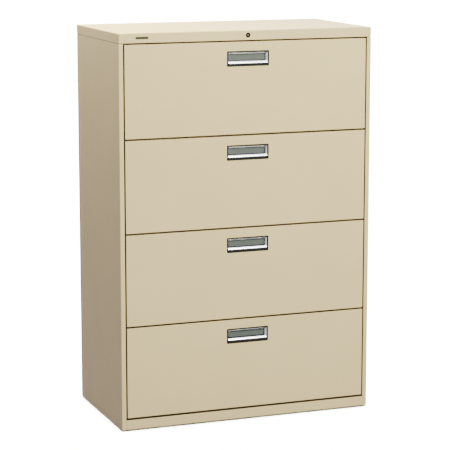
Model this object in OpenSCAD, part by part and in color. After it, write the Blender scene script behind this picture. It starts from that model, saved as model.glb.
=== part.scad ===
// Four-drawer lateral filing cabinet in painted sheet steel.
// Millimetres, +Z up, front towards -Y, origin on the floor under the middle of the cabinet.

/* [Cabinet] */
// Overall width of the cabinet
body_w = 914.4; // [700:0.1:1100]
// Overall depth, over the handle rims
body_d = 489; // [440:1:600]
// Overall height, feet included
body_h = 1352.5; // [1200:0.5:1600]
// Thickness of the case's steel sheet
case_t = 1.2; // [0.8:0.1:1.6]
// Height of the top cover's front rail
top_rail_h = 32.5; // [30:0.5:45]
// Height from the floor to the top of the base rail
base_h = 38.5; // [36:0.5:60]
// Clearance between the floor and the case's lower edge
floor_gap = 5; // [3:0.5:8]
// Width of the side panel's front face
stile_w = 16; // [14:0.5:20]
// Depth of the rails and of the side panel's front fold
rail_d = 22; // [18:0.5:30]
// Width of the side panel's rear fold
rear_fold_w = 16; // [14:1:24]
// Open seam between the top cover and the side panels
seam = 0.8; // [0.4:0.1:1.2]

/* [Drawers] */
// Gap above each drawer front
front_gap = 5.2; // [3:0.1:6]
// Gap under the lowest drawer front
bottom_gap = 7; // [5:0.5:10]
// Gap at each end of a drawer front
side_gap = 4.2; // [2:0.1:5]
// Thickness of the drawers' steel sheet
drawer_t = 1; // [0.7:0.1:1.4]
// Depth of a drawer front's folded edge
front_d = 18; // [17.5:0.5:24]
// Inside length of the drawer tray, front to back
tray_d = 420; // [360:1:430]
// Height of the tray's side walls
tray_h = 245; // [200:1:255]
// How far a drawer pulls out
travel = 400; // [300:1:410]
// Distance between the two hanging-folder rails
folder_span = 330; // [300:1:370]

/* [Handles] */
// Width of the handle's rim
handle_w = 152; // [130:1:180]
// Height of the handle's rim
handle_h = 52; // [48:1:56]
// How far the handle's rim stands out from the drawer front
handle_proud = 1.5; // [1:0.1:2.5]
// Depth of the handle's cup behind the drawer front
cup_d = 16.5; // [16:0.5:17]
// Wall of the handle's cup
cup_t = 2; // [1.5:0.1:3]
// Width of the visible rim around the cup
rim_w = 3; // [2:0.5:5]
// From a drawer front's upper edge down to its handle
handle_drop = 31; // [20:1:60]
// Thickness of the label holder in the cup
label_t = 1.6; // [1:0.1:2]

/* [Slides] */
// Height of a slide's outer member
slide_h = 45; // [38:1:50]
// Total thickness of a closed slide
slide_w = 12.7; // [12:0.1:14]
// Thickness of the slide members' steel
slide_t = 1.2; // [1:0.1:1.5]
// Height of the slide's middle line above the tray's floor
slide_lift = 100; // [60:1:180]
// Depth of the upright channels that hold the slides
upright_d = 14.5; // [14:0.5:18]
// Width of the upright channels
upright_w = 32; // [26:1:40]

/* [Lock] */
// Radius of the lock's black bezel
bezel_r = 8.6; // [7.5:0.1:10]
// Radius of the lock housing behind the rail
lock_r = 7.6; // [7:0.1:9]
// Radius of the turning plug
plug_r = 5.4; // [5:0.1:6]
// Length of the lock housing behind the rail's face
lock_d = 24; // [23:0.5:30]
// Radius at which the cam carries its drive pin
cam_throw = 8; // [6:0.5:9]

/* [Feet] */
// Radius of a levelling foot
foot_r = 16; // [12:0.5:20]
// Thickness of a levelling foot
foot_h = 6; // [4:0.5:8]
// Radius of a foot's threaded stud
stud_r = 5; // [4:0.5:6]
// From the cabinet's outer corner in to a foot, along X
foot_inset_x = 42; // [30:1:80]
// From the cabinet's front and back in to a foot
foot_inset_y = 46; // [40:1:80]

/* [Hidden] */
$fn = 48;
drawer_count = 4;

// The case's planes
half_w = body_w / 2;
front_y = -body_d / 2 + handle_proud;
back_y = body_d / 2;
rail_z = body_h - top_rail_h;
inner_x = half_w - case_t;
opening_x = half_w - stile_w;
screw_head_h = 1.2;
back_skin_t = 1;
tongue_h = 20;
screw_r = 2;
screw_head_r = 4;
screw_rows = 7;
screw_margin = 40;
back_skin_y = back_y - screw_head_h;
side_end_y = back_skin_y - back_skin_t;

// The drawers' planes
front_w = 2 * (opening_x - side_gap);
front_h = (rail_z - base_h - bottom_gap - drawer_count * front_gap) / drawer_count;
pitch = front_h + front_gap;
liner_y = front_y + front_d;
tray_y = liner_y + drawer_t;
tray_lift = 12;
slide_x = inner_x - upright_d;
tray_x = slide_x - slide_w;
tray_flange = 10;
tray_front_h = 40;
rail_t = 3;
rail_h = 12;
rail_cap = 2;
first_rail_y = tray_y + 20;
slide_start_y = front_y + rail_d + 2;

// The nested slide members
inner_h = slide_h - 20;
middle_h = slide_h - 10;
inner_lip = 5;
middle_lip = 4.2;
middle_gap = 2.5;
outer_lip = 9.5;

// Running clearances
turn_clear = 0.06;
slip = 0.3;

// The handle's cup: how far its ends and top slope in, and the height of its lip
cup_side = 7;
cup_bevel = 8;
lip_z = -8;

// Interlock and lock bar
rod_w = 8;
rod_x = slide_x - 1 - rod_w;
rod_y = tray_y + tray_d + 14;
bar_w = 14;
bar_t = 2;
bar_z = body_h - case_t - 9;
lock_z = body_h - top_rail_h / 2;
cam_y = front_y + lock_d + 0.5;
cam_t = 3;
pin_r = 2;
fork_clear = 2.4;

// Base
pan_z = floor_gap + 8;
nut_h = 7;
nut_r = 9;
weight_h = 19;
weight_d = 150;

DRAWER_PIECES = ["front", "liner", "tray", "hang_rails", "handle", "label_holder",
                 "catch", "slides_inner", "slides_middle", "slides_outer"];
CASE_NODES = ["top_cover", "left_side_panel", "right_side_panel", "back_panel", "base_rail",
              "base_pan", "uprights", "counterweight", "badge_plate", "case_screws",
              "lock_housing", "lock_plug", "lock_cam", "lock_bar", "interlock_rod", "rod_guides",
              "foot_front_left", "foot_front_right", "foot_back_left",
              "foot_back_right"];

PAINT = [0.82, 0.77, 0.66];
ZINC = [0.72, 0.73, 0.74];
CHROME = [0.85, 0.86, 0.88];
DARK = [0.08, 0.08, 0.08];
NYLON = [0.12, 0.12, 0.12];

// ---- Shapes that repeat ----

// A box given by its two opposite corners
module block(low, high) {
    translate(low) cube(high - low);
}

// The same solid on both sides of the cabinet
module both_sides() {
    children();
    mirror([1, 0, 0]) children();
}

// A pocket cut that narrows from its front opening to its back wall along +Y
module pocket(mouth_x, back_x, low_z, mouth_z, back_z, y0, y1) {
    intersection() {
        rotate([90, 0, 90]) translate([0, 0, -mouth_x - 1]) linear_extrude(2 * mouth_x + 2)
            polygon([[y0, low_z], [y1, low_z], [y1, back_z], [y0, mouth_z]]);
        translate([0, 0, low_z - 1]) linear_extrude(mouth_z - low_z + 2)
            polygon([[-mouth_x, y0], [mouth_x, y0], [back_x, y1], [-back_x, y1]]);
    }
}

// A cylinder along +Y from the point given
module rod_y(at, r, length) {
    translate(at) rotate([-90, 0, 0]) cylinder(r = r, h = length);
}

// ---- Case ----

// The folded plan of the left side panel: front stile, outer wall and rear fold
module side_outline() {
    polygon([[-half_w, front_y], [-opening_x, front_y], [-opening_x, front_y + rail_d],
             [-opening_x - case_t, front_y + rail_d], [-opening_x - case_t, front_y + case_t],
             [-inner_x, front_y + case_t], [-inner_x, side_end_y - case_t],
             [-half_w + rear_fold_w, side_end_y - case_t], [-half_w + rear_fold_w, side_end_y],
             [-half_w, side_end_y]]);
}

module left_side_panel() {
    color(PAINT) difference() {
        union() {
            translate([0, 0, floor_gap]) linear_extrude(rail_z - seam - floor_gap) side_outline();
            // The tongue that slips up inside the top cover
            block([-inner_x, front_y + rail_d, rail_z - tongue_h],
                  [-inner_x + case_t, side_end_y - case_t, body_h - case_t - 6]);
        }
        for (p = screw_places()) rod_y([p[0], side_end_y - 4, p[1]], screw_r + 0.1, 6);
    }
}

module right_side_panel() {
    mirror([1, 0, 0]) left_side_panel();
}

module top_cover() {
    color(PAINT) difference() {
        union() {
            difference() {
                block([-half_w, front_y, rail_z], [half_w, back_y, body_h]);
                block([-inner_x, front_y + case_t, rail_z - 1], [inner_x, back_y - case_t, body_h - case_t]);
            }
            // The rail's lower fold, between the two stiles
            block([-opening_x + case_t, front_y, rail_z], [opening_x - case_t, front_y + rail_d, rail_z + case_t]);
        }
        rod_y([0, front_y - 1, lock_z], lock_r + 0.2, rail_d);
    }
}

function screw_places() = [for (x = [-1, 1]) for (i = [0:screw_rows - 1])
    [x * (half_w - rear_fold_w / 2), screw_margin + i * (rail_z - 2 * screw_margin) / (screw_rows - 1)]];

module back_panel() {
    hat_d = 6;
    hat_h = 40;
    hat_x = half_w - rear_fold_w - 4;
    color(PAINT) difference() {
        union() {
            block([-half_w + 0.5, side_end_y, floor_gap + 1], [half_w - 0.5, back_skin_y, rail_z - seam]);
            // Two stiffening channels across the inside
            for (z = [body_h / 3, body_h * 2 / 3]) difference() {
                block([-hat_x, side_end_y - hat_d, z - hat_h / 2], [hat_x, side_end_y + 0.1, z + hat_h / 2]);
                block([-hat_x - 1, side_end_y - hat_d + case_t, z - hat_h / 2 + case_t],
                      [hat_x + 1, side_end_y, z + hat_h / 2 - case_t]);
            }
        }
        for (p = screw_places()) rod_y([p[0], side_end_y - 1, p[1]], screw_r + 0.1, back_skin_t + 2);
    }
}

module case_screws() {
    shank = 8;
    color(ZINC) for (p = screw_places()) union() {
        rod_y([p[0], back_skin_y, p[1]], screw_head_r, screw_head_h);
        rod_y([p[0], back_skin_y - shank, p[1]], screw_r, shank + 0.1);
    }
}

module base_rail() {
    edge = opening_x - slip;
    color(PAINT) difference() {
        block([-edge, front_y, floor_gap], [edge, front_y + rail_d, base_h]);
        block([-edge - 1, front_y + case_t, floor_gap + case_t], [edge + 1, front_y + rail_d + 1, base_h - case_t]);
    }
}

function foot_places() = [for (y = [front_y + foot_inset_y, back_y - foot_inset_y])
    for (x = [-half_w + foot_inset_x, half_w - foot_inset_x]) [x, y]];

module base_pan() {
    low = [-inner_x, front_y + rail_d, floor_gap];
    high = [inner_x, side_end_y - case_t, pan_z + case_t];
    color(ZINC) difference() {
        union() {
            difference() {
                block(low, high);
                block(low + [case_t, case_t, -1], high - [case_t, case_t, case_t]);
            }
            for (p = foot_places()) translate([p[0], p[1], pan_z + case_t])
                cylinder(r = nut_r, h = nut_h, $fn = 6);
        }
        for (p = foot_places()) translate([p[0], p[1], 0]) cylinder(r = stud_r + turn_clear, h = pan_z + 40);
    }
}

module foot(p) {
    color(NYLON) translate([p[0], p[1], 0]) union() {
        cylinder(r1 = foot_r - 1, r2 = foot_r, h = 1);
        translate([0, 0, 1]) cylinder(r = foot_r, h = foot_h - 2.5);
        translate([0, 0, foot_h - 1.5]) cylinder(r1 = foot_r, r2 = foot_r - 4, h = 1.5);
        cylinder(r = stud_r, h = pan_z + case_t + nut_h + 6);
    }
}

// Two upright channels on each side, open towards the side panel, which carry the slides
module uprights() {
    top_z = rail_z - tongue_h - 4;
    rear_y = slide_start_y + tray_d - upright_w - 24;
    color(ZINC) both_sides() for (y = [slide_start_y + 8, rear_y]) difference() {
        block([slide_x, y, pan_z + case_t], [inner_x, y + upright_w, top_z]);
        block([slide_x + case_t, y + case_t, pan_z], [inner_x + 1, y + upright_w - case_t, top_z + 1]);
    }
}

module counterweight() {
    half = half_w - 90;
    y1 = side_end_y - 72;
    color(DARK) block([-half, y1 - weight_d, pan_z + case_t], [half, y1, pan_z + case_t + weight_h]);
}

// A small blank plate on the top rail
module badge_plate() {
    w = 44;
    h = 8;
    x = -half_w + 81.5;
    color(DARK) block([x - w / 2, front_y - 0.5, lock_z - h / 2], [x + w / 2, front_y, lock_z + h / 2]);
}

// ---- Lock ----

module lock_housing() {
    color(DARK) difference() {
        union() {
            rod_y([0, front_y - 1.2, lock_z], bezel_r, 1.2);
            rod_y([0, front_y - 0.1, lock_z], lock_r, lock_d + 0.1);
        }
        rod_y([0, front_y - 3, lock_z], plug_r + turn_clear, lock_d + 6);
    }
}

module lock_plug() {
    keyway_w = 1.8;
    keyway_h = 7;
    color(CHROME) difference() {
        rod_y([0, front_y - 1, lock_z], plug_r, lock_d + 1.5);
        block([-keyway_w / 2, front_y - 2, lock_z - keyway_h / 2], [keyway_w / 2, front_y + 14, lock_z + keyway_h / 2]);
    }
}

// The arm behind the lock, with the pin that drives the lock bar
module lock_cam() {
    color(ZINC) union() {
        rod_y([0, cam_y, lock_z], plug_r + 1.5, cam_t);
        block([-3.5, cam_y, lock_z - cam_throw], [3.5, cam_y + cam_t, lock_z]);
        rod_y([0, cam_y, lock_z - cam_throw], 3.5, cam_t);
        rod_y([0, cam_y + cam_t - 0.1, lock_z - cam_throw], pin_r, 6);
    }
}

// A flat bar from the lock to the interlock rod, with a fork around the cam's pin
module lock_bar() {
    fork_y = cam_y + cam_t + 1;
    prong_w = 3;
    end_x = rod_x + rod_w / 2 + bar_w / 2 - cam_throw - 4;
    color(ZINC) union() {
        block([-pin_r - fork_clear - prong_w, fork_y, bar_z], [end_x, fork_y + bar_w, bar_z + bar_t]);
        block([end_x - bar_w, fork_y, bar_z], [end_x, rod_y - 2, bar_z + bar_t]);
        for (x = [-pin_r - fork_clear - prong_w, pin_r + fork_clear])
            block([x, fork_y, lock_z - cam_throw - 4], [x + prong_w, fork_y + bar_t, bar_z + 0.5]);
    }
}

// The square rod that lets only one drawer out at a time, with a finger for each drawer
module interlock_rod() {
    finger_w = 6;
    finger_d = 8;
    color(ZINC) union() {
        block([rod_x, rod_y, pan_z + case_t + 20], [rod_x + rod_w, rod_y + rod_w, bar_z - 14]);
        for (n = [1:drawer_count])
            block([rod_x - finger_w, rod_y - finger_d, catch_z(n) + 6], [rod_x + rod_w, rod_y + 1, catch_z(n) + 10]);
    }
}

// Brackets on the right side panel that guide the rod, and two hooks under the top for the lock bar
module rod_guides() {
    gap = 0.8;
    plate = 3;
    wall = 4;
    hook_w = 6;
    hook_y = cam_y + cam_t + 1;
    color(ZINC) union() {
        for (z = [base_h + 30, body_h / 2, rail_z - 30]) difference() {
            block([rod_x - gap - wall, rod_y - gap - wall, z], [inner_x, rod_y + rod_w + gap + wall, z + plate]);
            block([rod_x - gap, rod_y - gap, z - 1], [rod_x + rod_w + gap, rod_y + rod_w + gap, z + plate + 1]);
        }
        for (x = [rod_x / 3, rod_x * 2 / 3]) difference() {
            block([x, hook_y - gap - plate, bar_z - gap - plate], [x + hook_w, hook_y + bar_w + gap + plate, body_h - case_t]);
            block([x - 1, hook_y - gap, bar_z - gap], [x + hook_w + 1, hook_y + bar_w + gap, bar_z + bar_t + gap]);
        }
    }
}

// ---- Drawers ----

// The lower edge of a drawer's front; drawer 1 is the top one
function front_z(n) = base_h + bottom_gap + (drawer_count - n) * pitch;
function tray_z(n) = front_z(n) + tray_lift;
function handle_z(n) = front_z(n) + front_h - handle_drop - handle_h / 2;
function slide_z(n) = tray_z(n) + slide_lift;
function catch_z(n) = tray_z(n) + 200;

module drawer_front(n) {
    z = front_z(n);
    cut_w = handle_w / 2 - rim_w;
    cut_h = handle_h / 2 - rim_w;
    color(PAINT) difference() {
        block([-front_w / 2, front_y, z], [front_w / 2, liner_y, z + front_h]);
        block([-front_w / 2 + drawer_t, front_y + drawer_t, z + drawer_t],
              [front_w / 2 - drawer_t, liner_y + 1, z + front_h - drawer_t]);
        block([-cut_w, front_y - 1, handle_z(n) - cut_h], [cut_w, front_y + drawer_t + 1, handle_z(n) + cut_h]);
    }
}

// The inner skin that closes the drawer front, with a folded lip that hooks inside it
module drawer_liner(n) {
    z = front_z(n);
    lip = 8;
    edge = front_w / 2 - drawer_t - slip;
    color(PAINT) difference() {
        union() {
            block([-front_w / 2, liner_y, z], [front_w / 2, tray_y, z + front_h]);
            block([-edge, liner_y - lip, z + drawer_t + slip], [edge, liner_y, z + front_h - drawer_t - slip]);
        }
        block([-edge + drawer_t, liner_y - lip - 1, z + 2 * drawer_t + slip],
              [edge - drawer_t, liner_y, z + front_h - 2 * drawer_t - slip]);
    }
}

module drawer_tray(n) {
    z = tray_z(n);
    t = drawer_t;
    color(PAINT) union() {
        block([-tray_x, tray_y, z], [tray_x, tray_y + tray_d, z + t]);
        block([-tray_x, tray_y + tray_d - t, z], [tray_x, tray_y + tray_d, z + tray_h - 20]);
        block([-tray_x, tray_y, z], [tray_x, tray_y + t, z + tray_front_h]);
        both_sides() {
            block([tray_x - t, tray_y, z], [tray_x, tray_y + tray_d, z + tray_h]);
            block([tray_x - t - tray_flange, tray_y, z + tray_h - t], [tray_x, tray_y + tray_d, z + tray_h]);
        }
    }
}

// Two bars across the tray, resting on its side flanges, for hanging folders
module drawer_hang_rails(n) {
    z = tray_z(n) + tray_h;
    reach = tray_x - drawer_t - tray_flange - 0.5;
    color(ZINC) for (y = [first_rail_y, first_rail_y + folder_span]) union() {
        block([-tray_x + drawer_t, y, z], [tray_x - drawer_t, y + rail_t, z + rail_cap]);
        block([-reach, y, z - rail_h], [reach, y + rail_t, z + 0.1]);
    }
}

// A plated cup: a rim, a pocket with bevelled sides, and a rolled lip with room for fingers behind it
module drawer_handle(n) {
    z = handle_z(n);
    w = handle_w / 2;
    h = handle_h / 2;
    body_x = w - rim_w - slip;
    body_z = h - rim_w - slip;
    mouth_x = w - rim_w;
    mouth_top = h - 2;
    back_x = mouth_x - cup_side;
    back_top = mouth_top - cup_bevel;
    pocket_y = cup_d - cup_t;
    roll_r = 9;
    color(CHROME) translate([0, front_y, z]) difference() {
        union() {
            block([-w, -handle_proud, -h], [w, 0, h]);
            block([-body_x, -0.5, -body_z], [body_x, cup_d, body_z]);
        }
        // The pocket, bevelled at its top and its ends
        pocket(mouth_x, back_x, lip_z - 0.5, mouth_top, back_top, -handle_proud - 0.01, pocket_y);
        // The finger room behind the lip
        block([-back_x, 4.5, -h + rim_w + 3], [back_x, pocket_y, lip_z]);
        // The hollow in front of the lip, which leaves a half-round roll
        difference() {
            block([-mouth_x, -handle_proud - 1, -h + 2], [mouth_x, 4, lip_z]);
            translate([-mouth_x - 1, roll_r - handle_proud, (lip_z - h + 2) / 2]) rotate([0, 90, 0])
                cylinder(r = roll_r, h = 2 * mouth_x + 2);
        }
    }
}

// The grey holder for a paper label, on the cup's back wall
module drawer_label_holder(n) {
    frame_w = 3;
    half = handle_w / 2 - rim_w - cup_side - 1;
    low = handle_z(n) + lip_z + 0.8;
    high = handle_z(n) + handle_h / 2 - cup_bevel - 3;
    y = front_y + cup_d - cup_t;
    color([0.5, 0.52, 0.53]) difference() {
        block([-half, y - label_t, low], [half, y, high]);
        block([-half + frame_w, y - label_t - 1, low + frame_w], [half - frame_w, y - label_t + 0.6, high - frame_w]);
    }
}

// The striker on the tray's rear corner that works the interlock rod
module drawer_catch(n) {
    color(ZINC) block([tray_x, tray_y + tray_d - 20, catch_z(n) - 4], [slide_x - 2, tray_y + tray_d + 3, catch_z(n) + 4]);
}

// One slide member: a channel of the height given, from x0 to x1, opening towards the cabinet or the drawer
module slide_member(n, x0, x1, h, opens_out) {
    y = slide_start_y;
    web0 = opens_out ? x0 : x1 - slide_t;
    web1 = opens_out ? x0 + slide_t : x1;
    zc = slide_z(n);
    color(ZINC) union() {
        block([web0, y, zc - h / 2], [web1, y + tray_d, zc + h / 2]);
        for (s = [-1, 1])
            block([x0, y, zc + s * (h / 2 - slide_t / 2) - slide_t / 2],
                  [x1, y + tray_d, zc + s * (h / 2 - slide_t / 2) + slide_t / 2]);
    }
}

module drawer_slides_inner(n) {
    both_sides() slide_member(n, tray_x, tray_x + inner_lip, inner_h, true);
}

module drawer_slides_middle(n) {
    both_sides() slide_member(n, slide_x - middle_gap - middle_lip, slide_x - middle_gap, middle_h, true);
}

module drawer_slides_outer(n) {
    both_sides() slide_member(n, slide_x - outer_lip, slide_x, slide_h, false);
}

// ---- One line draws each node ----

top_cover();
left_side_panel();
right_side_panel();
back_panel();
base_rail();
base_pan();
uprights();
counterweight();
badge_plate();
case_screws();
lock_housing();
lock_plug();
lock_cam();
lock_bar();
interlock_rod();
rod_guides();
foot(foot_places()[0]);  // foot_front_left
foot(foot_places()[1]);  // foot_front_right
foot(foot_places()[2]);  // foot_back_left
foot(foot_places()[3]);  // foot_back_right
for (n = [1:drawer_count]) {
    drawer_front(n);
    drawer_liner(n);
    drawer_tray(n);
    drawer_hang_rails(n);
    drawer_handle(n);
    drawer_label_holder(n);
    drawer_catch(n);
    drawer_slides_inner(n);
    drawer_slides_middle(n);
    drawer_slides_outer(n);
}
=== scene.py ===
# A putty-coloured lateral filing cabinet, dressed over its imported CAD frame.
import math

import bmesh
import bpy
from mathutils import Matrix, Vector


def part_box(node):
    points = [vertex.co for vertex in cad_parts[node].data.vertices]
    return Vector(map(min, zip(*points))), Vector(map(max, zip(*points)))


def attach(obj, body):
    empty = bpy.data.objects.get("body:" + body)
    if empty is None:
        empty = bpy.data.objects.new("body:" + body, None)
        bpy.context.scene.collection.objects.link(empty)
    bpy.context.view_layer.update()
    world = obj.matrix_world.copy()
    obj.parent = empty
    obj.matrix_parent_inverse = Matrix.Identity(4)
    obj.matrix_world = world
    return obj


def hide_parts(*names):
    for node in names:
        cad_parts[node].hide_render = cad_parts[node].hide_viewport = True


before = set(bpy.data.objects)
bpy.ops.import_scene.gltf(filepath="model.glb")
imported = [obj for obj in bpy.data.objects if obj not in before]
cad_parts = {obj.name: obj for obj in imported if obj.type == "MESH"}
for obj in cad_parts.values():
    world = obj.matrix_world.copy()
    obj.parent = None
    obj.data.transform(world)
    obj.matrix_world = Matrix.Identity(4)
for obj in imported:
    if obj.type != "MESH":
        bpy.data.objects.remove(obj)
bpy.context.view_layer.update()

MM = 0.001
DRAWERS = range(1, 5)
CORNER_STEPS = 6  # facets of a rounded corner
BEND_STEPS = 4  # facets across a sheet-metal bend
SCREW_SIDES = 24
CRISP_DEG = 38  # edges sharper than this stay crisp
STRAIGHT = 1.55  # half angle, in radians, beyond which a path's point has no bend
TOUCH = 1e-6  # slack when a face is placed against a limit


# ---- Materials ----

def new_material(name):
    """An empty material and its Principled shader."""
    m = bpy.data.materials.new(name)
    m.use_nodes = True
    return m, m.node_tree, m.node_tree.nodes["Principled BSDF"]


def link(tree, a, out, b, into):
    """Joins output out of node a to input into of node b."""
    tree.links.new(a.outputs[out], b.inputs[into])


def coords(tree, scale=(1, 1, 1)):
    """Object coordinates, stretched by scale."""
    c = tree.nodes.new("ShaderNodeTexCoord")
    mp = tree.nodes.new("ShaderNodeMapping")
    mp.inputs["Scale"].default_value = scale
    link(tree, c, "Object", mp, "Vector")
    return mp


def noise(tree, source, scale, detail=2.0, rough=0.5):
    """Noise over the coordinates of source."""
    n = tree.nodes.new("ShaderNodeTexNoise")
    n.inputs["Scale"].default_value = scale
    n.inputs["Detail"].default_value = detail
    n.inputs["Roughness"].default_value = rough
    link(tree, source, "Vector", n, "Vector")
    return n


def ramp(tree, source, out, low, high, at=(0.3, 0.7)):
    """A two-colour ramp over source."""
    r = tree.nodes.new("ShaderNodeValToRGB")
    for e, p, c in zip(r.color_ramp.elements, at, (low, high)):
        e.position = p
        e.color = tuple(c) + (1,)
    link(tree, source, out, r, "Fac")
    return r


def spread(tree, source, out, low, high, start=0.0):
    """Maps start..1 of source to low..high."""
    r = tree.nodes.new("ShaderNodeMapRange")
    r.inputs["From Min"].default_value = start
    r.inputs["To Min"].default_value = low
    r.inputs["To Max"].default_value = high
    link(tree, source, out, r, "Value")
    return r


def bump(tree, source, out, shader, strength, distance):
    """Raises the shader's surface by source."""
    b = tree.nodes.new("ShaderNodeBump")
    b.inputs["Strength"].default_value = strength
    b.inputs["Distance"].default_value = distance
    link(tree, source, out, b, "Height")
    link(tree, b, "Normal", shader, "Normal")


def tint(color, k):
    """A colour made k times as bright."""
    return tuple(c * k for c in color)


def paint_material(name, color, peel=420.0, rough=(0.36, 0.46)):
    """Powder coat: fine orange peel, faint unevenness in colour and gloss."""
    m, t, s = new_material(name)
    src = coords(t)
    cloud = noise(t, src, 5.0, 3.0)
    tone = ramp(t, cloud, "Fac", tint(color, 0.975), tint(color, 1.025))
    link(t, tone, "Color", s, "Base Color")
    link(t, spread(t, noise(t, src, 60.0, 3.0), "Fac", *rough), "Result", s, "Roughness")
    bump(t, noise(t, src, peel, 2.0, 0.6), "Fac", s, 0.10, 0.00018)
    s.inputs["Specular IOR Level"].default_value = 0.12
    return m


def metal_material(name, color, rough, grain=(1, 1, 1), grain_scale=300.0, depth=0.05, metallic=1.0):
    """Bare or plated metal with a grain that follows the stretch given."""
    m, t, s = new_material(name)
    src = coords(t, grain)
    fine = noise(t, src, grain_scale, 4.0, 0.65)
    tone = ramp(t, fine, "Fac", tint(color, 0.90), tint(color, 1.06))
    link(t, tone, "Color", s, "Base Color")
    link(t, spread(t, fine, "Fac", *rough), "Result", s, "Roughness")
    bump(t, fine, "Fac", s, depth, 0.0001)
    s.inputs["Metallic"].default_value = metallic
    return m


def galvanised_material(name, color):
    """Zinc-coated sheet with a soft crystal pattern."""
    m, t, s = new_material(name)
    src = coords(t)
    v = t.nodes.new("ShaderNodeTexVoronoi")
    v.inputs["Scale"].default_value = 90.0
    link(t, src, "Vector", v, "Vector")
    tone = ramp(t, v, "Distance", tint(color, 0.88), tint(color, 1.08), (0.1, 0.8))
    link(t, tone, "Color", s, "Base Color")
    link(t, spread(t, v, "Distance", 0.34, 0.5), "Result", s, "Roughness")
    bump(t, noise(t, src, 260.0, 3.0), "Fac", s, 0.06, 0.0001)
    s.inputs["Metallic"].default_value = 0.9
    return m


def plastic_material(name, color, rough=(0.45, 0.6), grain=700.0, gloss=0.2):
    """Fine-grained plastic, black enamel or cast iron."""
    m, t, s = new_material(name)
    src = coords(t)
    tone = ramp(t, noise(t, src, 30.0), "Fac", tint(color, 0.8), tint(color, 1.25))
    link(t, tone, "Color", s, "Base Color")
    link(t, spread(t, noise(t, src, 90.0), "Fac", *rough), "Result", s, "Roughness")
    bump(t, noise(t, src, grain, 3.0), "Fac", s, 0.15, 0.0001)
    s.inputs["Specular IOR Level"].default_value = gloss
    return m


def plated_material(name, tone=0.9, rough=(0.12, 0.22)):
    """Bright plating, slightly wavy."""
    m, t, s = new_material(name)
    src = coords(t)
    mix = ramp(t, noise(t, src, 25.0, 3.0), "Fac", (tone * 0.95,) * 3, (tone, tone, tone * 1.02))
    link(t, mix, "Color", s, "Base Color")
    link(t, spread(t, noise(t, src, 45.0, 3.0), "Fac", *rough), "Result", s, "Roughness")
    bump(t, noise(t, src, 30.0, 2.0), "Fac", s, 0.04, 0.0004)
    s.inputs["Metallic"].default_value = 1.0
    return m


def lip_painted_shade_material(name):
    """Bright plating with painted shade: its colour darkens where the roll turns to face down, standing in
    for a dark reflection.
    """
    m = plated_material(name)
    t = m.node_tree
    s = t.nodes["Principled BSDF"]
    g = t.nodes.new("ShaderNodeNewGeometry")
    xyz = t.nodes.new("ShaderNodeSeparateXYZ")
    link(t, g, "Normal", xyz, "Vector")
    r = t.nodes.new("ShaderNodeValToRGB")
    while len(r.color_ramp.elements) < len(LIP_PAINTED_TONES):
        r.color_ramp.elements.new(0.5)
    for e, (at, v) in zip(r.color_ramp.elements, LIP_PAINTED_TONES):
        e.position = at
        e.color = (v, v, v * 1.01, 1)
    link(t, spread(t, xyz, "Z", 0.0, 1.0, -1.0), "Result", r, "Fac")
    link(t, r, "Color", s, "Base Color")
    return m


def set_gloss(material, level):
    """Sets how strongly a material's surface reflects."""
    material.node_tree.nodes["Principled BSDF"].inputs["Specular IOR Level"].default_value = level


PUTTY = (0.660, 0.520, 0.305)
# painted reflection on the pull lip: its brightness from facing down (0), painted dark, to facing up (1)
LIP_PAINTED_TONES = [(0.0, 0.015), (0.30, 0.022), (0.41, 0.045), (0.52, 0.11), (0.62, 0.35), (0.69, 0.96)]
M_PAINT = paint_material("putty_powder_coat", PUTTY)
M_INNER = paint_material("putty_inside", tint(PUTTY, 0.9), 520.0, (0.45, 0.58))
M_GALV = galvanised_material("galvanised_sheet", (0.52, 0.53, 0.54))
M_ZINC = metal_material("zinc_plate", (0.56, 0.58, 0.56), (0.28, 0.42))
M_RAIL = metal_material("dull_galvanised", (0.24, 0.25, 0.24), (0.52, 0.66))
M_PLATED = plated_material("bright_plating")
# painted shade: the cup's plating dimmed to a quarter for the slope under the pocket's top, standing in for a
# dim reflection
M_BEVEL_PAINTED_SHADE = plated_material("satin_plating_painted_shade", 0.24, (0.28, 0.38))
# painted shade: the lip's plating is darkened by how far it faces down
M_LIP_PAINTED_SHADE = lip_painted_shade_material("plating_lip_painted_shade")
# painted shade: near-black plating for the handle's rim and the cup's back wall, standing in for shadow
M_RIM_PAINTED_SHADE = plated_material("rim_plating_painted_shade", 0.012, (0.25, 0.35))
# painted shade: near-black paint for the faces deep in the gaps round the drawers and under the top cover
M_GAP_SHADE = paint_material("painted_gap_shade", (0.095, 0.074, 0.046), 420.0, (0.6, 0.75))
M_NICKEL = metal_material("nickel_plug", (0.24, 0.235, 0.22), (0.16, 0.26), grain_scale=500.0)
M_LABEL = metal_material("grey_label_steel", (0.072, 0.083, 0.089), (0.50, 0.68), (0.04, 1, 1),
                         grain_scale=900.0, depth=0.10, metallic=0.08)
M_BADGE = metal_material("badge_plate_dark", (0.022, 0.021, 0.012), (0.35, 0.5), (0.1, 1, 1),
                         grain_scale=800.0, depth=0.05, metallic=0.3)
set_gloss(M_LABEL, 0.25)
set_gloss(M_BADGE, 0.15)
M_BEZEL = plastic_material("bezel_black", (0.004, 0.004, 0.004), (0.30, 0.42), 700.0, 0.06)
M_NYLON = plastic_material("foot_nylon", (0.022, 0.022, 0.022))
M_IRON = plastic_material("weight_black_iron", (0.03, 0.03, 0.03), (0.55, 0.75), 260.0)


# ---- Mesh building ----

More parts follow.
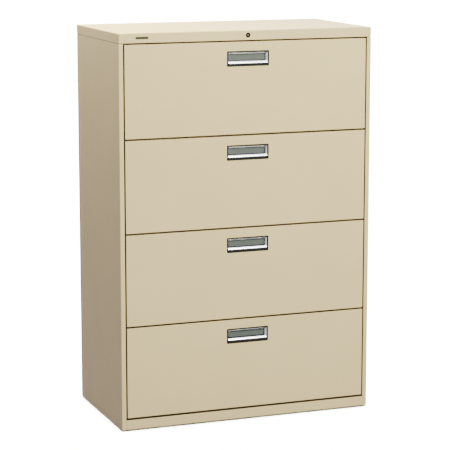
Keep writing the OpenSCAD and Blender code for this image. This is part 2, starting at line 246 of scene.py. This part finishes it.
def finish_piece(bm, name, material, body, nodes=()):
    """Turns bm into a piece with weighted normals that rides on body and stands for nodes."""
    bmesh.ops.remove_doubles(bm, verts=bm.verts, dist=1e-7)
    bmesh.ops.recalc_face_normals(bm, faces=bm.faces)
    me = bpy.data.meshes.new(name)
    bm.to_mesh(me)
    bm.free()
    me.shade_smooth()
    me.set_sharp_from_angle(angle=math.radians(CRISP_DEG))
    me.materials.append(material)
    o = bpy.data.objects.new(name, me)
    bpy.context.scene.collection.objects.link(o)
    w = o.modifiers.new("weighted", "WEIGHTED_NORMAL")
    w.keep_sharp = True
    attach(o, body)
    if nodes:
        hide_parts(*nodes)
    return o


def paint_gap_shade(o, front, back):
    """Paints the faces between two depths near-black, as painted shade in the gaps around the drawers."""
    o.data.materials.append(M_GAP_SHADE)
    for f in o.data.polygons:
        depths = [o.data.vertices[v].co.y for v in f.vertices]
        if abs(f.normal.y) < 0.5 and front - TOUCH <= min(depths) and max(depths) <= back + TOUCH:
            f.material_index = 1


def loft(bm, loops, ring=False):
    """Skins a run of closed loops with equal point counts, and caps the ends or joins them into a ring."""
    rows = [[bm.verts.new(p) for p in loop] for loop in loops]
    pairs = list(zip(rows, rows[1:])) + ([(rows[-1], rows[0])] if ring else [])
    for a, b in pairs:
        for i in range(len(a)):
            j = (i + 1) % len(a)
            bm.faces.new((a[i], a[j], b[j], b[i]))
    if not ring:
        bm.faces.new(rows[0][::-1])
        bm.faces.new(rows[-1])


def rounded(x0, x1, z0, z1, r, steps=CORNER_STEPS):
    """Points of a rounded rectangle, anticlockwise from its lower right corner."""
    r = max(10 * TOUCH, min(r, (x1 - x0) / 2 - TOUCH, (z1 - z0) / 2 - TOUCH))
    corners = ((x1 - r, z0 + r, -90), (x1 - r, z1 - r, 0), (x0 + r, z1 - r, 90), (x0 + r, z0 + r, 180))
    pts = []
    for cx, cz, start in corners:
        for k in range(steps + 1):
            a = math.radians(start + 90 * k / steps)
            pts.append((cx + r * math.cos(a), cz + r * math.sin(a)))
    return pts


def facing(points, y):
    """2D points (x, z) set at depth y."""
    return [(x, y, z) for x, z in points]


def lying(points, z):
    """2D points (x, y) set at height z."""
    return [(x, y, z) for x, y in points]


def circle(cx, cz, r, n=48):
    """n points round a circle."""
    turns = [math.tau * i / n for i in range(n)]
    return [(cx + r * math.cos(a), cz + r * math.sin(a)) for a in turns]


def fillet(path, r):
    """An open 2D path with each inner corner rounded to radius r."""
    pts = [Vector(path[0])]
    for a, b, c in zip(path, path[1:], path[2:]):
        a, b, c = Vector(a), Vector(b), Vector(c)
        u, v = (a - b).normalized(), (c - b).normalized()
        half = math.acos(max(-1, min(1, u.dot(v)))) / 2
        if half > STRAIGHT:
            pts.append(b)
            continue
        d = min(r / math.tan(half), (a - b).length * 0.45, (c - b).length * 0.45)
        rr = d * math.tan(half)
        centre = b + (u + v).normalized() * (rr / math.sin(half))
        p, q = b + u * d - centre, b + v * d - centre
        turn = p.angle_signed(q)
        for k in range(BEND_STEPS + 1):
            ang = -turn * k / BEND_STEPS
            cos, sin = math.cos(ang), math.sin(ang)
            pts.append(centre + Vector((p.x * cos - p.y * sin, p.x * sin + p.y * cos)))
    pts.append(Vector(path[-1]))
    return pts


def offset(pts, t):
    """The path moved sideways by t, to the left of its direction."""
    out = []
    for i, p in enumerate(pts):
        a = (p - pts[i - 1]).normalized() if i else None
        b = (pts[i + 1] - p).normalized() if i < len(pts) - 1 else None
        a, b = a or b, b or a
        na, nb = Vector((-a.y, a.x)), Vector((-b.y, b.x))
        n = (na + nb).normalized()
        out.append(p + n * (t / max(0.3, n.dot(na))))
    return out


def folded(bm, path, t, r, place, a, b):
    """Sheet metal, t thick to the left of a path bent to radius r, swept from a to b in the axes of place."""
    outer = fillet(path, r)
    inner = offset(outer, t)
    (o0, i0), (o1, i1) = [[[bm.verts.new(place(p.x, p.y, s)) for p in line] for line in (outer, inner)]
                          for s in (a, b)]
    n = len(outer)
    for k in range(n - 1):
        bm.faces.new((o0[k], o0[k + 1], o1[k + 1], o1[k]))
        bm.faces.new((i0[k], i1[k], i1[k + 1], i0[k + 1]))
        bm.faces.new((o0[k], i0[k], i0[k + 1], o0[k + 1]))
        bm.faces.new((o1[k], o1[k + 1], i1[k + 1], i1[k]))
    for k in (0, n - 1):
        bm.faces.new((o0[k], o1[k], i1[k], i0[k]))


def along_x(u, v, s):
    return (s, u, v)


def along_y(u, v, s):
    return (u, s, v)


def along_z(u, v, s):
    return (u, v, s)


def slab(bm, lo, hi, r):
    """A box with its edges softened to radius r."""
    x0, y0, z0 = lo
    x1, y1, z1 = hi
    r = min(r, (x1 - x0) * 0.45, (y1 - y0) * 0.45, (z1 - z0) * 0.45)
    near = r * 0.3
    loops = []
    for z, i in ((z0, r), (z0 + near, near), (z0 + r, 0), (z1 - r, 0), (z1 - near, near), (z1, r)):
        loops.append(lying(rounded(x0 + i, x1 - i, y0 + i, y1 - i, max(r - i, near), 2), z))
    loft(bm, loops)


# ---- Case ----

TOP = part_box("top_cover")
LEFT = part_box("left_side_panel")
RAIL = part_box("base_rail")
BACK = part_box("back_panel")
SHEET = 1.2 * MM  # wall of the case
BEND = 2.4 * MM  # outside radius of its bends
FOLD = 22 * MM  # depth of the folds round the drawer openings
HEM_DEPTH = 1.8 * MM  # where the painted gap shade starts, behind the face
SEAM = 1.8 * MM  # shadow line under the top cover
FACE_Y = TOP[0][1]
STILE_X = -LEFT[1][0]


def bend_steps(radius):
    """How far a quarter bend stands in from its side, and back from its face, step by step."""
    angles = [math.radians(90 * k / BEND_STEPS) for k in range(BEND_STEPS + 1)]
    return [(radius * (1 - math.sin(a)), radius * (1 - math.cos(a))) for a in angles]


def build_top():
    """The folded cover, open below, and the lip of its rail between the stiles."""
    (x0, y0, z0), (x1, y1, z1) = TOP
    corner, inner_corner, clear = 3 * MM, 2 * MM, 3 * MM

    def outline(i, r, z):
        return lying(rounded(x0 + i, x1 - i, y0 + i, y1 - i, r), z)

    loops = [outline(i, corner, z1 - drop) for i, drop in bend_steps(BEND)]
    loops += [outline(0, corner, z0), outline(SHEET, inner_corner, z0),
              outline(SHEET, inner_corner, z1 - SHEET - 1 * MM),
              outline(SHEET + 1 * MM, inner_corner, z1 - SHEET)]
    bm = bmesh.new()
    loft(bm, loops)
    middle = y0 + SHEET * 0.5
    lip = [(middle, z0 + 6 * MM), (middle, z0), (y0 + HEM_DEPTH, z0), (y0 + FOLD, z0)]
    folded(bm, lip, SHEET, 0.8 * MM, along_x, -STILE_X + clear, STILE_X - clear)
    o = finish_piece(bm, "top_cover_shell", M_PAINT, "case", ["top_cover"])
    # painted shade in the gap above the top drawer
    paint_gap_shade(o, y0 + HEM_DEPTH - 0.4 * MM, y0 + FOLD)


def build_side(sign, name, node):
    """A side panel with its stile and rear fold, and a tongue up inside the top cover painted dark as the
    shade in the seam.
    """
    (x0, y0, z0), (x1, y1, z1) = LEFT
    top, tongue_h = TOP[0][2] - SEAM, 12 * MM
    path = [(x1, y0 + FOLD), (x1, y0 + HEM_DEPTH + 3 * MM), (x1, y0), (x0, y0), (x0, y1), (x1, y1)]
    t0, t1 = x0 + SHEET, x0 + 2 * SHEET
    if sign > 0:
        path = [(-x, y) for x, y in path][::-1]
        t0, t1 = -t1, -t0
    bm = bmesh.new()
    folded(bm, path, -SHEET, BEND, along_z, z0, top)
    slab(bm, (t0, y0 + 10 * MM, top - tongue_h), (t1, y1 - 4 * MM, z1), 0.2 * MM)
    o = finish_piece(bm, name, M_PAINT, "case", [node])
    # painted shade in the gap beside the drawers
    paint_gap_shade(o, y0 + HEM_DEPTH, y0 + FOLD)
    # painted shade: the tongue's faces take the near-black gap paint, so the seam under the top cover reads
    # as shadow
    for f in o.data.polygons:
        low = min(o.data.vertices[v].co.z for v in f.vertices)
        if low > top - tongue_h - 1 * MM and t0 - 10 * TOUCH <= f.center.x <= t1 + 10 * TOUCH:
            f.material_index = 1


def build_base():
    """The rail under the lowest drawer, a channel that opens to the back."""
    (x0, y0, z0), (x1, y1, z1) = RAIL
    bm = bmesh.new()
    path = [(y1, z0), (y0, z0), (y0, z1), (y0 + HEM_DEPTH + 3 * MM, z1), (y1, z1)]
    folded(bm, path, -SHEET, 1.8 * MM, along_x, x0, x1)
    o = finish_piece(bm, "base_rail_shell", M_PAINT, "case", ["base_rail"])
    # painted shade in the gap under the lowest drawer
    paint_gap_shade(o, y0 + HEM_DEPTH, y1)


def build_back():
    """The rear sheet, its two stiffening channels, and a strip that closes the seam behind the top cover."""
    (x0, y0, z0), (x1, y1, z1) = BACK
    skin, edge, channel_half = y1 - 1.0 * MM, 0.3 * MM, 20 * MM

    def sheet(i, y):
        return facing(rounded(x0 + i, x1 - i, z0 + i, z1 - i, 4 * MM), y)

    bm = bmesh.new()
    loft(bm, [sheet(0, skin), sheet(0, y1 - edge), sheet(edge, y1)])
    end = x1 - 17 * MM
    for k in (1, 2):
        z = TOP[1][2] * k / 3
        low, high = z - channel_half, z + channel_half
        folded(bm, [(skin, low), (y0, low), (y0, high), (skin, high)], -SHEET, 1.6 * MM, along_x, -end, end)
    # the strip: its root between the side panels' rear folds, and its upper part above them
    root, reach, inside = x1 - 18 * MM, x1 - 3 * MM, skin - 1.5 * MM
    fold_top = TOP[0][2] - SEAM
    slab(bm, (-root, inside, z1 - 14 * MM), (root, skin + 0.1 * MM, fold_top + 1 * MM), 0.2 * MM)
    slab(bm, (-reach, inside, fold_top), (reach, skin - 0.35 * MM, z1 + 8 * MM), 0.2 * MM)
    finish_piece(bm, "back_skin", M_PAINT, "case", ["back_panel"])


def build_screws():
    """Pan heads with a cross recess down both rear edges."""
    (x0, y0, z0), (x1, y1, z1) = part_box("case_screws")
    rows, r, shank = 7, 4 * MM, 2 * MM
    # radius, then mm from the top of the head
    head = ((r, 1.2), (r, 0.8), (r * 0.93, 0.4), (r * 0.75, 0.12), (r * 0.5, 0.02))
    bm = bmesh.new()
    for x in (x0 + r, x1 - r):
        for i in range(rows):
            z = z0 + r + (z1 - z0 - 2 * r) * i / (rows - 1)
            loops = [facing(circle(x, z, shank, SCREW_SIDES), y) for y in (y0 + 1 * MM, y1 - 1.2 * MM)]
            loops += [facing(circle(x, z, rr, SCREW_SIDES), y1 - d * MM) for rr, d in head]
            loops.append(facing(cross(x, z, 1.5 * MM), y1 - 0.02 * MM))
            loops.append(facing(cross(x, z, 1.1 * MM), y1 - 0.8 * MM))
            loft(bm, loops)
    finish_piece(bm, "case_screw_heads", M_ZINC, "case", ["case_screws"])


def cross(cx, cz, r):
    """A rounded cross, for a screw's recess."""
    waist = 0.55
    pts = []
    for i in range(SCREW_SIDES):
        a = math.tau * i / SCREW_SIDES
        k = r * (waist + (1 - waist) * abs(math.cos(2 * a)) ** 1.5)
        pts.append((cx + k * math.cos(a), cz + k * math.sin(a)))
    return pts


# ---- Drawers ----

DRAWER_SHEET = 1.0 * MM
TRIM = 0.4 * MM  # taken off each drawer front all round
HOLE_IN = 3 * MM  # the handle's cut-out, in from the handle's outline

RIM_W = 3.7 * MM  # the handle's rim, painted near-black as a shadow line round the pull
RIM_EDGE = 0.5 * MM  # its rounding
MOUTH_EASE = 1.0 * MM  # the slope from the rim in to the pocket
MOUTH_SINK = 0.6 * MM  # how far the pocket's mouth lies behind the drawer's face
CUP_IN = 3.3 * MM  # the cup's outside, in from the handle's outline
CUP_WALL = 2 * MM
LIP_STEPS = 16


def build_front(n):
    """A front pan: flat face with the handle's cut-out, bent edges and hems painted dark as the shade in the
    gaps.
    """
    (x0, y0, z0), (x1, y1, z1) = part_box(f"drawer_{n}_front")
    x0, x1, z0, z1 = x0 + TRIM, x1 - TRIM, z0 + TRIM, z1 - TRIM
    hx0, hx1, hz0, hz1 = hole_of(n)
    t, bend, corner, hole_corner, ease = DRAWER_SHEET, 1.4 * MM, 1.2 * MM, 2 * MM, 0.2 * MM

    def hole(grow, y):
        return facing(rounded(hx0 - grow, hx1 + grow, hz0 - grow, hz1 + grow, hole_corner), y)

    def outline(i, y):
        return facing(rounded(x0 + i, x1 - i, z0 + i, z1 - i, corner), y)

    loops = [hole(0, y0 + t), hole(0, y0 + ease), hole(ease, y0)]
    loops += [outline(i, y0 + back) for i, back in bend_steps(bend)]
    loops += [outline(0, y0 + HEM_DEPTH), outline(0, y1), outline(t, y1), outline(t, y0 + bend + t),
              outline(2 * t, y0 + t)]
    bm = bmesh.new()
    loft(bm, loops, ring=True)
    o = finish_piece(bm, f"drawer_{n}_front_skin", M_PAINT, f"drawer_{n}", [f"drawer_{n}_front"])
    # painted shade in the gaps round this drawer front
    paint_gap_shade(o, y0 + HEM_DEPTH, y1)


def hole_of(n):
    """The handle's cut-out in a drawer front."""
    (x0, _, z0), (x1, _, z1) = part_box(f"drawer_{n}_handle")
    return x0 + HOLE_IN, x1 - HOLE_IN, z0 + HOLE_IN, z1 - HOLE_IN


def build_handle(n):
    """The plated pull: a thin rim on the drawer's face painted dark as a shadow line, the cup behind it and
    the rolled lip.
    """
    box, body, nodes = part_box(f"drawer_{n}_handle"), f"drawer_{n}", [f"drawer_{n}_handle"]
    (x0, y0, z0), (x1, y1, z1) = box
    mouth_in = RIM_W + MOUTH_EASE

    def inset(i, y, r):
        return facing(rounded(x0 + i, x1 - i, z0 + i, z1 - i, r), y)

    bm = bmesh.new()
    handle_rim(bm, inset, y0)
    # painted shade: the rim is plated near-black as a shadow line
    finish_piece(bm, f"drawer_{n}_handle_rim", M_RIM_PAINTED_SHADE, body, nodes)

    bm = bmesh.new()
    mouth, pocket_y = FACE_Y + MOUTH_SINK, y1 - CUP_WALL
    handle_cup(bm, inset, box, mouth, pocket_y)
    o = finish_piece(bm, f"drawer_{n}_handle_cup", M_PLATED, body, nodes)
    # painted shade on the pocket's back wall and on the slope under its top
    shade_cup(o, (z0 + z1) / 2, mouth, pocket_y)

    bm = bmesh.new()
    handle_lip(bm, y0, z0, x0 + mouth_in + 0.5 * MM, x1 - mouth_in - 0.5 * MM)
    # painted shade on the lip where it faces down
    finish_piece(bm, f"drawer_{n}_handle_lip", M_LIP_PAINTED_SHADE, body, nodes)


def handle_rim(bm, inset, y0):
    """A thin ring with rounded edges, which slopes in towards the pocket."""
    corner, inner_corner, near = 2.5 * MM, 2 * MM, 0.3 * RIM_EDGE
    loops = [inset(0, FACE_Y, corner), inset(0, y0 + RIM_EDGE, corner), inset(near, y0 + near, corner),
             inset(RIM_EDGE, y0, corner), inset(RIM_W - RIM_EDGE, y0, inner_corner),
             inset(RIM_W - near, y0 + near, inner_corner), inset(RIM_W, y0 + RIM_EDGE, inner_corner),
             inset(RIM_W + MOUTH_EASE, FACE_Y + MOUTH_SINK, inner_corner),
             inset(0.4 * MM, FACE_Y + MOUTH_SINK, inner_corner)]
    loft(bm, loops, ring=True)


def handle_cup(bm, inset, box, mouth, pocket_y):
    """The cup's outside, then its pocket, whose top and ends slope in twice before the back wall."""
    (x0, _, z0), (x1, y1, z1) = box
    mouth_in, corner, deep = RIM_W + MOUTH_EASE, 1.5 * MM, (pocket_y - mouth) / MM
    x0, x1, z0, z1 = x0 + mouth_in, x1 - mouth_in, z0 + mouth_in, z1 - mouth_in
    loops = [inset(CUP_IN, y1, corner), inset(CUP_IN, y1 - 1 * MM, corner),
             inset(CUP_IN, FACE_Y + 0.9 * MM, corner), inset(mouth_in, mouth, 2 * MM)]
    # mm behind the mouth, then how many mm the ends and the top have come in by there
    pocket = ((0.2, 0.15, 0.2), (4.6, 4.0, 5.4), (5.6, 4.5, 5.9), (deep - 0.6, 5.2, 6.2), (deep, 5.3, 6.3))
    for back, side, top in pocket:
        outline = rounded(x0 + side * MM, x1 - side * MM, z0, z1 - top * MM, 1.6 * MM)
        loops.append(facing(outline, mouth + back * MM))
    loft(bm, loops)


def shade_cup(o, middle_z, mouth, pocket_y):
    """Painted shade: near-black plating on the cup's back wall, and plating dimmed as a painted dim
    reflection on the slope under its top.
    """
    o.data.materials.append(M_RIM_PAINTED_SHADE)
    o.data.materials.append(M_BEVEL_PAINTED_SHADE)
    for f in o.data.polygons:
        if f.normal.y < -0.9 and f.center.y > pocket_y - 0.1 * MM:
            f.material_index = 1
        elif f.normal.z < -0.3 and mouth < f.center.y < pocket_y and f.center.z > middle_z:
            f.material_index = 2


def handle_lip(bm, y0, z0, x0, x1):
    """The rolled pull across the cup's lower part: an arc that is fuller below than above."""
    radius, wall, below = 9.5 * MM, 1.4 * MM, 0.45
    top, low = z0 + 18 * MM, z0 + 1.4 * MM
    mid, span = (top + low) / 2, math.asin((top - low) / 2 / radius)
    outer = []
    for k in range(LIP_STEPS + 1):
        a = -span + 2 * span * k / LIP_STEPS
        sink = radius * (1 - math.cos(a)) * (1 if a > 0 else below)
        outer.append((y0 + 0.4 * MM + sink, mid + radius * math.sin(a)))
    top_y, top_z = outer[-1]
    roll = [(top_y + 0.45 * MM, top_z + 0.15 * MM), (top_y + 1.0 * MM, top_z + 0.05 * MM)]
    profile = outer + roll + [(y + wall, z) for y, z in outer[::-1]]
    loft(bm, [[(x, y, z) for y, z in profile] for x in (x0, x1)])


def build_label(n):
    """The grey label plate, with a raised border round a shallow field."""
    (x0, y0, z0), (x1, y1, z1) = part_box(f"drawer_{n}_label_holder")
    border, sunk, edge = 2.2 * MM, 0.5 * MM, 0.3 * MM
    bm = bmesh.new()

    def ring(i, y):
        return facing(rounded(x0 + i, x1 - i, z0 + i, z1 - i, max(0.4 * MM, 1.6 * MM - i)), y)

    loft(bm, [ring(0, y1), ring(0, y0 + edge), ring(edge, y0), ring(border, y0),
              ring(border + edge, y0 + sunk)])
    finish_piece(bm, f"drawer_{n}_label_plate", M_LABEL, f"drawer_{n}",
                 [f"drawer_{n}_label_holder"])


def build_tray(n):
    """The tray: floor and flanged sides from one sheet, a rear wall, and a low wall behind the front."""
    (x0, y0, z0), (x1, y1, z1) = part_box(f"drawer_{n}_tray")
    t, bend, flange, hem, hem_bend = DRAWER_SHEET, 2.0 * MM, 10 * MM, 9 * MM, 1.5 * MM
    rear, low = z1 - 20 * MM, z0 + 40 * MM
    bm = bmesh.new()
    path = [(x0 + flange, z1), (x0, z1), (x0, z0), (x1, z0), (x1, z1), (x1 - flange, z1)]
    folded(bm, path, t, bend, along_y, y0, y1)
    folded(bm, [(y1 - hem, rear), (y1, rear), (y1, z0 + t)], -t, hem_bend, along_x, x0 + t, x1 - t)
    folded(bm, [(y0, z0 + t), (y0, low), (y0 + hem, low)], -t, hem_bend, along_x, x0 + t, x1 - t)
    finish_piece(bm, f"drawer_{n}_tray_box", M_INNER, f"drawer_{n}", [f"drawer_{n}_tray"])


def build_hang_rails(n):
    """Two bars for hanging folders, each with a longer cap that lies on the tray's flanges."""
    (x0, y0, z0), (x1, y1, z1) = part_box(f"drawer_{n}_hang_rails")
    t, cap, short, edge = 3 * MM, 2 * MM, 11 * MM, 0.8 * MM
    bm = bmesh.new()
    for y in (y0, y1 - t):
        slab(bm, (x0, y, z1 - cap), (x1, y + t, z1), edge)
        slab(bm, (x0 + short, y, z0), (x1 - short, y + t, z1 - 1.5 * MM), edge)
    finish_piece(bm, f"drawer_{n}_folder_rails", M_RAIL, f"drawer_{n}",
                 [f"drawer_{n}_hang_rails"])


def build_slides(n, part, body, depth, opens_out):
    """A mirrored pair of channel members with rolled edges."""
    node = f"drawer_{n}_slides_{part}"
    (x0, y0, z0), (x1, y1, z1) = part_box(node)
    web = x1 - depth if opens_out else x1
    lips = x1 if opens_out else x1 - depth
    bm = bmesh.new()
    for sign in (-1, 1):
        path = [(sign * lips, z0), (sign * web, z0), (sign * web, z1), (sign * lips, z1)]
        side = sign if opens_out else -sign
        folded(bm, path, -SHEET * side, 2.0 * MM, along_y, y0, y1)
    finish_piece(bm, f"drawer_{n}_slide_{part}_pair", M_GALV, body, [node])


# ---- Lock, badge and feet ----

def build_lock():
    """A black bezel, the black barrel in its bore, and the bright key plug with its slot."""
    (x0, y0, z0), (x1, y1, z1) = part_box("lock_housing")
    cx, cz, r = (x0 + x1) / 2, (z0 + z1) / 2, (x1 - x0) / 2
    bore, barrel = 5.5 * MM, 7.6 * MM

    def ring(radius, y):
        return facing(circle(cx, cz, radius), y)

    # radius, then mm behind the bezel's front
    dome = ((bore + 0.4 * MM, 0.35), (bore + 1.0 * MM, 0.05), (r - 1.2 * MM, 0.0), (r - 0.5 * MM, 0.2),
            (r - 0.1 * MM, 0.6), (r, 1.2))
    loops = [ring(bore, y1), ring(bore, y0 + 0.9 * MM)]
    loops += [ring(rr, y0 + d * MM) for rr, d in dome]
    loops += [ring(barrel, y0 + 1.2 * MM), ring(barrel, y1)]
    bm = bmesh.new()
    loft(bm, loops, ring=True)
    finish_piece(bm, "lock_bezel", M_BEZEL, "case", ["lock_housing"])

    (px0, py0, pz0), (px1, py1, pz1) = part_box("lock_plug")
    pr, core, edge = (px1 - px0) / 2, 1.9 * MM, 0.05 * MM
    bm = bmesh.new()
    loft(bm, [ring(core, py0 + 2 * MM), ring(core, py0 + 0.3 * MM), ring(pr - 0.5 * MM, py0 + 0.1 * MM),
              ring(pr, py0 + 0.6 * MM), ring(pr, py1)])
    finish_piece(bm, "lock_plug_barrel", M_BEZEL, "lock_plug", ["lock_plug"])

    slot = key_slot(cx, cz)
    bm = bmesh.new()
    loft(bm, [facing(slot, py0 + 8 * MM), facing(slot, py0), ring(core - 0.4 * MM, py0),
              ring(core - edge, py0 + 0.3 * MM), ring(core - edge, py0 + 9 * MM)])
    finish_piece(bm, "lock_plug_core", M_NICKEL, "lock_plug", ["lock_plug"])


def key_slot(cx, cz):
    """An upright slot with as many points as a circle, from its rightmost point on."""
    half_w, half_h = 0.4 * MM, 1.3 * MM
    slot = rounded(cx - half_w, cx + half_w, cz - half_h, cz + half_h, half_w, 11)
    start = slot.index(max(slot))
    return slot[start:] + slot[:start]


def build_badge():
    """A small blank plate with a raised border."""
    (x0, y0, z0), (x1, y1, z1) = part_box("badge_plate")
    edge, border, sunk = 0.25 * MM, 0.9 * MM, 0.2 * MM
    bm = bmesh.new()

    def ring(i, y):
        return facing(rounded(x0 + i, x1 - i, z0 + i, z1 - i, 1.0 * MM), y)

    loft(bm, [ring(0, y1), ring(0, y0 + edge), ring(edge, y0), ring(border, y0),
              ring(border + sunk, y0 + sunk)])
    finish_piece(bm, "badge_blank", M_BADGE, "case", ["badge_plate"])


def build_foot(where):
    """A levelling foot: a moulded pad and a stud with ridges for its thread."""
    node = f"foot_{where}"
    (x0, y0, z0), (x1, y1, z1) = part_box(node)
    cx, cy, r = (x0 + x1) / 2, (y0 + y1) / 2, (x1 - x0) / 2
    root, crest, pitch, pad_h = 4.5 * MM, 4.95 * MM, 1.5 * MM, 6.0

    def ring(radius, z):
        return lying(circle(cx, cy, radius), z)

    # radius, then mm above the floor
    pad = ((r - 0.3 * MM, 0.3), (r, 1.0), (r, 4.2), (r - 1.0 * MM, 5.0), (r - 4 * MM, pad_h), (8 * MM, pad_h))
    loops = [ring(r - 1.2 * MM, z0)] + [ring(rr, z * MM) for rr, z in pad]
    z = pad_h * MM
    loops.append(ring(root, z))
    while z + pitch < z1 - 1 * MM:
        loops.append(ring(crest, z + pitch / 2))
        z += pitch
        loops.append(ring(root, z))
    loops.append(ring(root - 0.6 * MM, z1))
    bm = bmesh.new()
    loft(bm, loops)
    finish_piece(bm, f"{node}_pad", M_NYLON, node, [node])


# ---- Assemble ----

build_top()
build_side(-1, "side_panel_left_sheet", "left_side_panel")
build_side(1, "side_panel_right_sheet", "right_side_panel")
build_base()
build_back()
build_screws()
for n in DRAWERS:
    build_front(n)
    build_handle(n)
    build_label(n)
    build_tray(n)
    build_hang_rails(n)
    build_slides(n, "inner", f"drawer_{n}", 5 * MM, True)
    build_slides(n, "middle", f"middle_slides_{n}", 4.2 * MM, True)
    build_slides(n, "outer", "case", 9.5 * MM, False)
build_lock()
build_badge()
for where in ("front_left", "front_right", "back_left", "back_right"):
    build_foot(where)

# CAD nodes that show as they are, with a material of their own
KEPT = {"base_pan": M_GALV, "uprights": M_GALV, "rod_guides": M_GALV, "counterweight": M_IRON,
        "lock_cam": M_ZINC, "lock_bar": M_ZINC, "interlock_rod": M_ZINC}
for n in DRAWERS:
    KEPT[f"drawer_{n}_liner"] = M_INNER
    KEPT[f"drawer_{n}_catch"] = M_ZINC
for node, material in KEPT.items():
    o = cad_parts[node]
    o.data.materials.clear()
    o.data.materials.append(material)


# ---- Floor, light and camera ----

KEY_COLOR = (0.98, 1.0, 0.66)
TOP_COLOR = (1.0, 0.95, 0.22)
FILL_COLOR = (1.0, 0.93, 1.22, 1)
# how bright the sky and the floor are in view, as a light on the object, and in its reflections
SKY_SEEN, SKY_FILL, SKY_MIRRORED = 30.0, 0.56, 4.0
FLOOR_SEEN, FLOOR_BOUNCE, FLOOR_MIRRORED = 1.0, 0.007, 0.034
FLOOR_WASH = 60.0
FLOOR_HALF = 30
LENS = 146.88
CAMERA_AT = (-2.272, -6.002, 1.789)
CAMERA_DOWN, CAMERA_RIGHT = 10.09, 20.81  # degrees from level, and from straight at the front


def by_ray(tree, camera, diffuse, other):
    """A number that depends on the kind of ray, so that the studio is white in view and dimmer as a light."""
    path = tree.nodes.new("ShaderNodeLightPath")
    a = tree.nodes.new("ShaderNodeMix")
    a.inputs["A"].default_value = other
    a.inputs["B"].default_value = diffuse
    link(tree, path, "Is Diffuse Ray", a, "Factor")
    b = tree.nodes.new("ShaderNodeMix")
    b.inputs["B"].default_value = camera
    link(tree, a, "Result", b, "A")
    link(tree, path, "Is Camera Ray", b, "Factor")
    return b


def build_floor():
    """A plain white floor."""
    m, t, s = new_material("pale_floor")
    t.nodes.remove(s)
    d = t.nodes.new("ShaderNodeBsdfDiffuse")
    link(t, d, "BSDF", t.nodes["Material Output"], "Surface")
    tone = ramp(t, noise(t, coords(t), 2.0), "Fac", (0.98, 0.98, 0.98), (1, 1, 1))
    v = t.nodes.new("ShaderNodeVectorMath")
    v.operation = "SCALE"
    link(t, tone, "Color", v, "Vector")
    link(t, by_ray(t, FLOOR_SEEN, FLOOR_BOUNCE, FLOOR_MIRRORED), "Result", v, "Scale")
    link(t, v, "Vector", d, "Color")
    bm = bmesh.new()
    bmesh.ops.create_grid(bm, x_segments=1, y_segments=1, size=FLOOR_HALF)
    me = bpy.data.meshes.new("floor")
    bm.to_mesh(me)
    bm.free()
    me.materials.append(m)
    o = bpy.data.objects.new("floor", me)
    bpy.context.scene.collection.objects.link(o)
    return o


def build_world():
    """An even white sky."""
    w = bpy.data.worlds.new("studio")
    w.use_nodes = True
    bg = w.node_tree.nodes["Background"]
    bg.inputs["Color"].default_value = FILL_COLOR
    link(w.node_tree, by_ray(w.node_tree, SKY_SEEN, SKY_FILL, SKY_MIRRORED), "Result", bg, "Strength")
    bpy.context.scene.world = w


def floor_wash(floor, strength):
    """Light from straight above that falls on the floor alone, as when a backdrop is lit for itself."""
    light = bpy.data.lights.new("floor_wash", "SUN")
    light.energy = strength
    light.angle = math.radians(4)
    o = bpy.data.objects.new("floor_wash", light)
    bpy.context.scene.collection.objects.link(o)
    lit = bpy.data.collections.new("lit_by_wash")
    lit.objects.link(floor)
    o.light_linking.receiver_collection = lit


def softbox(name, place, target, size, power, color):
    """A square soft light at place, aimed at target."""
    light = bpy.data.lights.new(name, "AREA")
    light.energy = power
    light.size = size
    light.color = color
    o = bpy.data.objects.new(name, light)
    o.location = place
    o.rotation_euler = (Vector(target) - Vector(place)).to_track_quat("-Z", "Y").to_euler()
    bpy.context.scene.collection.objects.link(o)


def build_camera():
    """The camera, from the front left and above, with no shift."""
    cam = bpy.data.cameras.new("camera")
    cam.sensor_width = 36
    cam.lens = LENS
    o = bpy.data.objects.new("camera", cam)
    o.location = CAMERA_AT
    o.rotation_euler = (math.radians(90 - CAMERA_DOWN), 0, math.radians(-CAMERA_RIGHT))
    bpy.context.scene.collection.objects.link(o)
    bpy.context.scene.camera = o


floor_wash(build_floor(), FLOOR_WASH)
build_world()
softbox("overhead", (-0.58, 0.15, 2.9), (-0.58, 0.15, 0), 0.9, 165, TOP_COLOR)
softbox("front_fill", (0.5, -3.3, 2.2), (0, -0.2, 0.9), 1.7, 262, KEY_COLOR)
build_camera()
